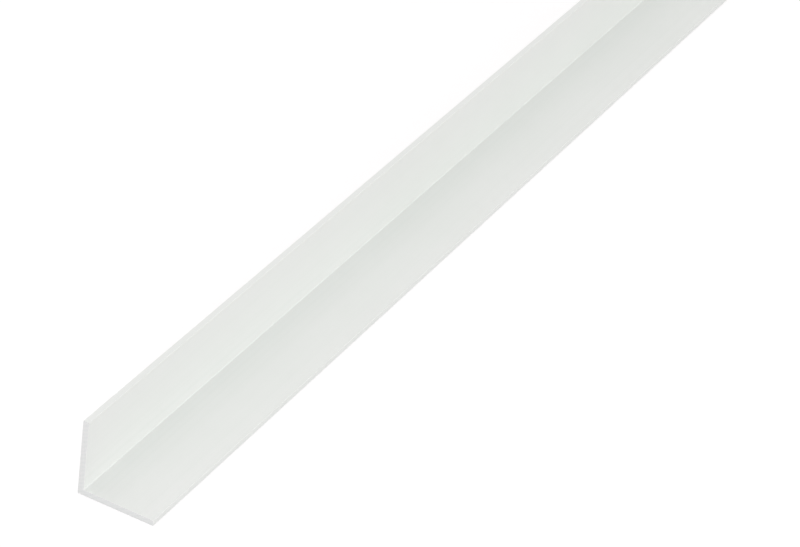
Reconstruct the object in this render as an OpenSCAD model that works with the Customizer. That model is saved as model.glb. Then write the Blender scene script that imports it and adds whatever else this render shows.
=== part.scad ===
// Equal-leg angle profile, extruded in rigid white PVC and sawn square at both ends.
// It lies on one leg, as it would on a floor: length along X, upright leg on the +Y side, toe towards -Y.
// The origin is at the middle of the underside. Lengths are in millimetres.

/* [Section] */
// Width of the leg that lies flat, from its heel to its toe
flat_leg = 20; // [10:0.5:60]
// Height of the upright leg, from its heel to its toe
upright_leg = 20; // [10:0.5:60]
// Thickness of both legs
wall = 1.5; // [0.8:0.1:4]

/* [Edges] */
// Radius of the root, the inside corner where the legs meet
root_radius = 0.25; // [0.1:0.05:3]
// Radius of the heel, the outside corner where the legs meet
heel_radius = 0.2; // [0.1:0.05:1.5]
// Radius of the two edges of each toe, under half the wall
toe_radius = 0.1; // [0.05:0.05:0.35]

/* [Bar] */
// Length that the bar is sawn to
bar_length = 1000; // [100:50:3000]

/* [Hidden] */
pvc_white = "#E8EAE6";
$fn = 48;

// What a radius takes off an outside corner or fills in an inside one.
// The corner is at the origin, and its two sides run along +X and +Y.
module corner_web(radius) {
    difference() {
        square(radius);
        translate([radius, radius]) circle(radius);
    }
}

// The L section: heel at the origin, flat leg along +X and upright leg along +Y.
module angle_section() {
    difference() {
        union() {
            square([flat_leg, wall]);
            square([wall, upright_leg]);
            translate([wall, wall]) corner_web(root_radius);
        }
        corner_web(heel_radius);
        translate([flat_leg, 0]) rotate(90) corner_web(toe_radius);
        translate([flat_leg, wall]) rotate(180) corner_web(toe_radius);
        translate([wall, upright_leg]) rotate(180) corner_web(toe_radius);
        translate([0, upright_leg]) rotate(270) corner_web(toe_radius);
    }
}

// The bar: the section drawn out along X, its underside at Z = 0 and its flat leg centred on Y.
module angle_profile() {
    color(pvc_white)
        translate([0, flat_leg / 2, 0])
            rotate([90, 0, -90])
                linear_extrude(bar_length, center = true)
                    angle_section();
}

angle_profile();
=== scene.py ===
# A length of white PVC angle that lies on one leg on a pale studio floor. Lengths are in metres.
import math

import bmesh
import bpy
from mathutils import Matrix, Vector


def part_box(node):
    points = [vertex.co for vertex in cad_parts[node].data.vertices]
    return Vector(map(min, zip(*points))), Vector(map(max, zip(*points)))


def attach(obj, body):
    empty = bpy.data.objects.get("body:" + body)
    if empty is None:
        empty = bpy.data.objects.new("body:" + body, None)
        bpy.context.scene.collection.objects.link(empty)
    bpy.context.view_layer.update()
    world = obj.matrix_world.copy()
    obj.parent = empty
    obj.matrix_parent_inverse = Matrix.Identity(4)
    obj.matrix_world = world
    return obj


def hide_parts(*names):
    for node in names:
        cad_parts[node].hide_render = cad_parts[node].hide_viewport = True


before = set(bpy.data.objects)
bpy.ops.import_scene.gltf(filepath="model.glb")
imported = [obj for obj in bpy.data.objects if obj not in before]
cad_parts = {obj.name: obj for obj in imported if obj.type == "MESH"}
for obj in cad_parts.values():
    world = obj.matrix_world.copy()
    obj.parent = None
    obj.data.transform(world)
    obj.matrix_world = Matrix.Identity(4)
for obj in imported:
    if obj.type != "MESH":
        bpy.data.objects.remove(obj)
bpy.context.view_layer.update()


# The bar: an equal-leg angle of rigid white PVC, pushed hot through a die as one L section.
# The die gives every edge along it a small radius, and leaves faint lines along its faces.
# A saw cuts it square to length, and the burr is wiped off the rims of the cuts.
MM = 0.001
wall = 1.5 * MM
root_radius = 0.25 * MM
heel_radius = 0.2 * MM
toe_radius = 0.1 * MM
rim_radius = 0.08 * MM
ARC_STEPS = 8
RIM_STEPS = 4

# The die's opening has six corners, each with its own radius. It stands across the bar's first end.
low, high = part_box("angle_profile")
inner_y = high.y - wall
inner_z = low.z + wall
die_corners = [
    (high.y, low.z, heel_radius),
    (low.y, low.z, toe_radius),
    (low.y, inner_z, toe_radius),
    (inner_y, inner_z, root_radius),
    (inner_y, high.z, toe_radius),
    (high.y, high.z, toe_radius),
]
bar = bmesh.new()
corner_points = [bar.verts.new((low.x, y, z)) for y, z, radius in die_corners]
bar.faces.new(corner_points)
for point, (y, z, radius) in zip(corner_points, die_corners):
    bmesh.ops.bevel(
        bar, geom=[point], affect="VERTICES", offset=radius, offset_type="OFFSET",
        segments=ARC_STEPS, profile=0.5, material=-1,
    )

# The section is drawn out to the other end in one go.
drawn = bmesh.ops.extrude_face_region(bar, geom=bar.faces[:])
drawn_points = [part for part in drawn["geom"] if isinstance(part, bmesh.types.BMVert)]
bmesh.ops.translate(bar, verts=drawn_points, vec=(high.x - low.x, 0, 0))
bmesh.ops.recalc_face_normals(bar, faces=bar.faces[:])

# The rims are the edges that lie across the bar, round its two cut faces.
rims = [edge for edge in bar.edges if edge.verts[0].co.x == edge.verts[1].co.x]
bmesh.ops.bevel(
    bar, geom=rims, affect="EDGES", offset=rim_radius, offset_type="OFFSET",
    segments=RIM_STEPS, profile=0.5, material=-1,
)

# Flat faces look along an axis and stay flat, and the radii between them are shaded smooth.
# The cut faces and their rims wear the second material.
ALONG_AXIS = 0.999
SKIN, SAWN = 0, 1
for face in bar.faces:
    middle = face.calc_center_median()
    face.smooth = max(abs(face.normal.x), abs(face.normal.y), abs(face.normal.z)) < ALONG_AXIS
    face.material_index = SAWN if min(middle.x - low.x, high.x - middle.x) < rim_radius else SKIN

bar_mesh = bpy.data.meshes.new("pvc_angle_bar")
bar.to_mesh(bar_mesh)
bar.free()
bar_object = bpy.data.objects.new("pvc_angle_bar", bar_mesh)
bpy.context.scene.collection.objects.link(bar_object)
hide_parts("angle_profile")
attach(bar_object, "root")


def linear(hex_colour):
    """The linear colour, with full alpha, of an sRGB hex value, by the sRGB standard's own numbers."""
    channels = [int(hex_colour[start:start + 2], 16) / 255 for start in (1, 3, 5)]
    return [c / 12.92 if c <= 0.04045 else ((c + 0.055) / 1.055) ** 2.4 for c in channels] + [1.0]


def add_node(tree, kind, settings=(), links=()):
    """A new node. Settings name its sockets or its own values, and links name a node and its output."""
    node = tree.nodes.new(kind)
    sockets = {socket.identifier: socket for socket in node.inputs}
    for name, value in dict(settings).items():
        if name in sockets:
            sockets[name].default_value = value
        else:
            setattr(node, name, value)
    for name, (source, output) in dict(links).items():
        outputs = {socket.identifier: socket for socket in source.outputs}
        tree.links.new(outputs[output], sockets[name])
    return node


def empty_tree(owner):
    """The cleared node tree of a material or world."""
    owner.use_nodes = True
    owner.node_tree.nodes.clear()
    return owner.node_tree


# Rigid PVC, extruded: white with a faint cool green, and satin. Faint lines from the die run its whole
# length, lighter or darker and a little more or less glossy, over a slow cloudiness where the melt
# cooled unevenly. The lines are drawn about three times as wide as real ones, so that they show.
skin_light = linear("#E9EDEA")
skin_dark = linear("#E5EAE6")
pvc_ior = 1.53
die_line_width = 0.9 * MM
die_line_length = 600 * MM
die_line_depth = 0.004 * MM
die_line_detail = 3
cloud_size = 28 * MM
cloud_detail = 2
cloud_share = 0.4
glossy_line = 0.33
dull_line = 0.43
# Noise keeps mostly to the middle of its range.
noise_low = 0.3
noise_high = 0.7
# A mapping sets the size of the lines, so their texture is left at its own size.
own_size = 1

skin = bpy.data.materials.new("extruded_white_pvc")
tree = empty_tree(skin)
place = add_node(tree, "ShaderNodeTexCoord")
drawn_out = add_node(
    tree, "ShaderNodeMapping",
    {"Scale": (1 / die_line_length, 1 / die_line_width, 1 / die_line_width)},
    {"Vector": (place, "Object")},
)
die_lines = add_node(
    tree, "ShaderNodeTexNoise", {"Scale": own_size, "Detail": die_line_detail},
    {"Vector": (drawn_out, "Vector")},
)
clouds = add_node(
    tree, "ShaderNodeTexNoise", {"Scale": 1 / cloud_size, "Detail": cloud_detail},
    {"Vector": (place, "Object")},
)
tone = add_node(
    tree, "ShaderNodeMix", {"Factor_Float": cloud_share},
    {"A_Float": (die_lines, "Fac"), "B_Float": (clouds, "Fac")},
)
spread = add_node(
    tree, "ShaderNodeMapRange", {"From Min": noise_low, "From Max": noise_high},
    {"Value": (tone, "Result_Float")},
)
colour = add_node(
    tree, "ShaderNodeMix", {"data_type": "RGBA", "A_Color": skin_dark, "B_Color": skin_light},
    {"Factor_Float": (spread, "Result")},
)
gloss = add_node(
    tree, "ShaderNodeMapRange",
    {"From Min": noise_low, "From Max": noise_high, "To Min": glossy_line, "To Max": dull_line},
    {"Value": (die_lines, "Fac")},
)
relief = add_node(tree, "ShaderNodeBump", {"Distance": die_line_depth}, {"Height": (die_lines, "Fac")})
surface = add_node(
    tree, "ShaderNodeBsdfPrincipled", {"IOR": pvc_ior},
    {
        "Base Color": (colour, "Result_Color"),
        "Roughness": (gloss, "Result"),
        "Normal": (relief, "Normal"),
    },
)
add_node(tree, "ShaderNodeOutputMaterial", {}, {"Surface": (surface, "BSDF")})
bar_mesh.materials.append(skin)

# The same PVC, sawn: a matt face with the teeth's marks across it in a slant, each a shallow groove.
# Real marks lie about 0.4 mm apart, and these are drawn wider, so that they show.
sawn_light = linear("#E9ECEA")
sawn_dark = linear("#E5E9E7")
saw_mark_pitch = 1.0 * MM
saw_mark_depth = 0.003 * MM
saw_slant = math.radians(28)
saw_wander = 4
saw_mark_detail = 2
sawn_roughness = 0.72
# A wave texture of scale 1 repeats after this length.
WAVE_REPEAT = math.tau / 20

sawn = bpy.data.materials.new("sawn_white_pvc")
tree = empty_tree(sawn)
place = add_node(tree, "ShaderNodeTexCoord")
slanted = add_node(
    tree, "ShaderNodeMapping", {"Rotation": (saw_slant, 0, 0)}, {"Vector": (place, "Object")}
)
saw_marks = add_node(
    tree, "ShaderNodeTexWave",
    {
        "bands_direction": "Z",
        "Scale": WAVE_REPEAT / saw_mark_pitch,
        "Distortion": saw_wander,
        "Detail": saw_mark_detail,
    },
    {"Vector": (slanted, "Vector")},
)
colour = add_node(
    tree, "ShaderNodeMix", {"data_type": "RGBA", "A_Color": sawn_dark, "B_Color": sawn_light},
    {"Factor_Float": (saw_marks, "Fac")},
)
relief = add_node(tree, "ShaderNodeBump", {"Distance": saw_mark_depth}, {"Height": (saw_marks, "Fac")})
surface = add_node(
    tree, "ShaderNodeBsdfPrincipled", {"IOR": pvc_ior, "Roughness": sawn_roughness},
    {"Base Color": (colour, "Result_Color"), "Normal": (relief, "Normal")},
)
add_node(tree, "ShaderNodeOutputMaterial", {}, {"Surface": (surface, "BSDF")})
bar_mesh.materials.append(sawn)


# The floor: a wide sheet of matt pale grey paper, laid so far out that no view meets its edge.
# Seen directly or in a reflection it is lifted to near white, and the bar's own shade still darkens it.
floor_reach = 15
paper_grey = linear("#C4C4C4")
plain_white = linear("#FFFFFF")
paper_roughness = 1
paper_gloss = 0
paper_lift = 0.52

sheet = bmesh.new()
bmesh.ops.create_grid(sheet, x_segments=1, y_segments=1, size=floor_reach)
floor_mesh = bpy.data.meshes.new("studio_floor")
sheet.to_mesh(floor_mesh)
sheet.free()
floor = bpy.data.objects.new("studio_floor", floor_mesh)
bpy.context.scene.collection.objects.link(floor)


def seen_directly(tree):
    """A node that gives 1 to rays from the camera, off a gloss or through glass, and 0 to the rest."""
    ray = add_node(tree, "ShaderNodeLightPath")
    mirrored = add_node(
        tree, "ShaderNodeMath", {"operation": "MAXIMUM"},
        {"Value": (ray, "Is Camera Ray"), "Value_001": (ray, "Is Glossy Ray")},
    )
    return add_node(
        tree, "ShaderNodeMath", {"operation": "MAXIMUM"},
        {"Value": (mirrored, "Value"), "Value_001": (ray, "Is Transmission Ray")},
    )


paper = bpy.data.materials.new("matt_pale_paper")
tree = empty_tree(paper)
lift = add_node(
    tree, "ShaderNodeMath", {"operation": "MULTIPLY", "Value_001": paper_lift},
    {"Value": (seen_directly(tree), "Value")},
)
surface = add_node(
    tree, "ShaderNodeBsdfPrincipled",
    {
        "Base Color": paper_grey,
        "Roughness": paper_roughness,
        "Specular IOR Level": paper_gloss,
        "Emission Color": plain_white,
    },
    {"Emission Strength": (lift, "Value")},
)
add_node(tree, "ShaderNodeOutputMaterial", {}, {"Surface": (surface, "BSDF")})
floor_mesh.materials.append(paper)


# The light: a white room all round, and five softboxes. One hangs over the bar's near half, one looks at
# its sawn end, and one stands low on the floor in front of the open side. One stands low behind, for the
# upright's outer face, and a small hooded one hangs over the far half.
room_colour = linear("#FFFBFC")
room_strength = 0.776
backdrop_strength = 1

world = bpy.data.worlds.new("studio")
bpy.context.scene.world = world
tree = empty_tree(world)
room = add_node(tree, "ShaderNodeBackground", {"Color": room_colour, "Strength": room_strength})
backdrop = add_node(tree, "ShaderNodeBackground", {"Color": plain_white, "Strength": backdrop_strength})
studio = add_node(
    tree, "ShaderNodeMixShader", {},
    {
        "Fac": (seen_directly(tree), "Value"),
        "Shader": (room, "Background"),
        "Shader_001": (backdrop, "Background"),
    },
)
add_node(tree, "ShaderNodeOutputWorld", {}, {"Surface": (studio, "Shader")})

near_half = Vector((-0.4, 0, 0.01))
far_half = Vector((0.45, 0, 0.01))
open_face = math.radians(180)
hooded_face = math.radians(105)
# Each has its place, the spot it faces, its width, how far its light fans out, its watts and its colour.
softboxes = [
    ("overhead_softbox", (-0.5, 0.2, 0.6), near_half, 0.4, open_face, 0.445, "#FFFDFC"),
    ("end_softbox", (-1.3, -0.3, 0.3), near_half, 0.4, open_face, 2.505, "#FDFBFF"),
    ("front_softbox", (-0.3, -0.8, 0.15), near_half, 0.3, open_face, 1.42, "#FFFBFA"),
    ("back_softbox", (0.6, 1.4, 0.12), near_half, 0.22, open_face, 6.0, "#FFFBFC"),
    ("far_softbox", (0.5, -0.25, 0.43), far_half, 0.2, hooded_face, 0.15, "#FFFBFC"),
]
for name, stand, spot, width, fan, watts, hex_colour in softboxes:
    lamp = bpy.data.lights.new(name, "AREA")
    lamp.shape = "SQUARE"
    lamp.size = width
    lamp.spread = fan
    lamp.energy = watts
    lamp.color = linear(hex_colour)[:3]
    softbox = bpy.data.objects.new(name, lamp)
    softbox.location = stand
    softbox.rotation_euler = (spot - softbox.location).to_track_quat("-Z", "Y").to_euler()
    softbox.visible_camera = False
    bpy.context.scene.collection.objects.link(softbox)


# The camera: a long lens above the near end, that looks along the bar and down on its open side.
# It leans a little to one side, as the photograph does. Its lens and sensor are in millimetres.
lens_length = 150.5
sensor_width = 36
camera_place = (-1.0185, -0.2952, 0.4544)
camera_turn = math.radians(-65.69)
camera_dip = math.radians(32.74)
camera_lean = math.radians(8.01)
level = math.radians(90)
MATRIX_ROWS = 4

lens = bpy.data.cameras.new("camera")
lens.lens = lens_length
lens.sensor_width = sensor_width
camera = bpy.data.objects.new("camera", lens)
camera.matrix_world = (
    Matrix.Translation(camera_place)
    @ Matrix.Rotation(camera_turn, MATRIX_ROWS, "Z")
    @ Matrix.Rotation(level - camera_dip, MATRIX_ROWS, "X")
    @ Matrix.Rotation(camera_lean, MATRIX_ROWS, "Z")
)
bpy.context.scene.collection.objects.link(camera)
bpy.context.scene.camera = camera
bpy.context.scene.view_settings.view_transform = "Standard"
